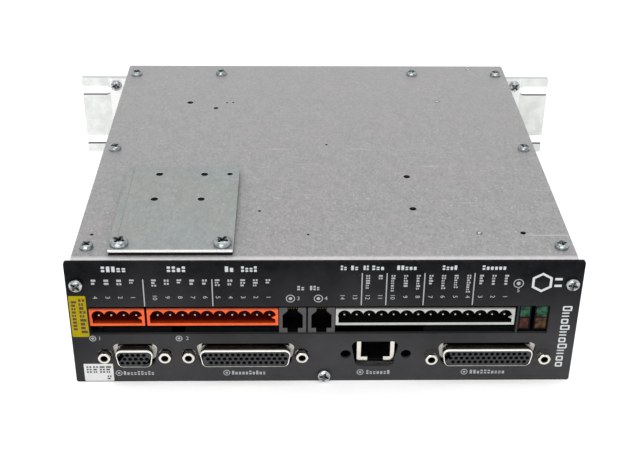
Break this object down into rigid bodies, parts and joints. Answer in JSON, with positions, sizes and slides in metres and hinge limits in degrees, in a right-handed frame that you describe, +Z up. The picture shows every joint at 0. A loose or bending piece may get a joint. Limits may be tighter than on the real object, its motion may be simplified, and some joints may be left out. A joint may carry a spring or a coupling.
{
  "type": "servo drive",
  "caption": "Book-size servo drive: flat metal housing with a black connector panel in front, a slotted wall mounting plate behind and a small plate on its cover.",
  "frame": {"origin": "under the middle of the bounding box, on the surface that the drive stands on", "axes": "+X to the right along the connector panel, +Y from the connector panel to the wall mounting plate, +Z up from the trough's floor to the cover"},
  "size_m": [0.257, 0.2064, 0.0648],
  "materials": {
    "bare_aluminium": "extruded and folded aluminium, plain mill finish",
    "cover_sheet": "bare sheet, mottled and finely scratched",
    "black_panel": "satin black paint with white printing",
    "zinc_plate": "bright zinc plated sheet",
    "adapter_sheet": "smooth galvanised sheet",
    "dark_gasket": "dark rubber",
    "zinc_screw": "bright zinc",
    "orange_plastic": "orange moulding",
    "grey_plastic": "light grey moulding",
    "tinned_pin": "tin plated",
    "jack_plastic": "dark grey moulding",
    "gold_contact": "gold flashed",
    "black_plastic": "black moulding",
    "nickel_shell": "nickel and tin plating",
    "socket_plastic": "dark grey moulding",
    "green_lens": "clear tinted green",
    "red_lens": "clear tinted red",
    "amber_lens": "clear tinted amber",
    "yellow_paper": "yellow sticker",
    "white_paper": "white sticker",
    "green_board": "glass fibre circuit board",
    "capacitor_sleeve": "shrink sleeve",
    "ferrite": "dull grey ferrite",
    "copper_wire": "enamelled copper"
  },
  "bodies": {
    "root": {"adapter_gasket": "dark_gasket", "adapter_plate": "adapter_sheet", "adapter_screws": "zinc_screw", "amber_lens": "amber_lens", "board_screws": "zinc_screw", "board_standoffs": "zinc_screw", "brake_relay": "black_plastic", "bridge_rectifier": "black_plastic", "bus_capacitors": "capacitor_sleeve", "bus_header_housing": "orange_plastic", "bus_header_pins": "tinned_pin", "chassis": "bare_aluminium", "choke_core": "ferrite", "choke_windings": "copper_wire", "com_jack_contacts": "gold_contact", "com_jack_housing": "black_plastic", "com_jack_shield": "nickel_shell", "control_board": "green_board", "control_header_housing": "grey_plastic", "control_header_pins": "tinned_pin", "cover_screws": "zinc_screw", "cover_studs": "zinc_screw", "encoder_port_insert": "socket_plastic", "encoder_port_shell": "nickel_shell", "floor_screws": "zinc_screw", "front_panel": "black_panel", "gate_driver_chips": "black_plastic", "green_lenses": "green_lens", "heat_spreader": "bare_aluminium", "jackscrews": "nickel_shell", "lamp_block_left": "black_plastic", "lamp_block_right": "black_plastic", "motor_header_housing": "orange_plastic", "motor_header_pins": "tinned_pin", "mounting_plate_screws": "zinc_screw", "multi_port_a_insert": "socket_plastic", "multi_port_a_shell": "nickel_shell", "multi_port_b_insert": "socket_plastic", "multi_port_b_shell": "nickel_shell", "panel_screws": "zinc_screw", "power_board": "green_board", "power_module": "black_plastic", "processor_chip": "black_plastic", "rear_mounting_plate": "zinc_plate", "rear_wall": "bare_aluminium", "rear_wall_screws": "zinc_screw", "red_lens": "red_lens", "serial_jack_contacts": "gold_contact", "serial_jack_left": "jack_plastic", "serial_jack_right": "jack_plastic", "stacking_connector": "black_plastic", "terminal_board": "green_board", "thermal_pad": "dark_gasket", "top_cover": "cover_sheet", "transformer_core": "ferrite", "transformer_winding": "copper_wire", "white_label": "white_paper", "yellow_label": "yellow_paper"}
  },
  "joints": []
}
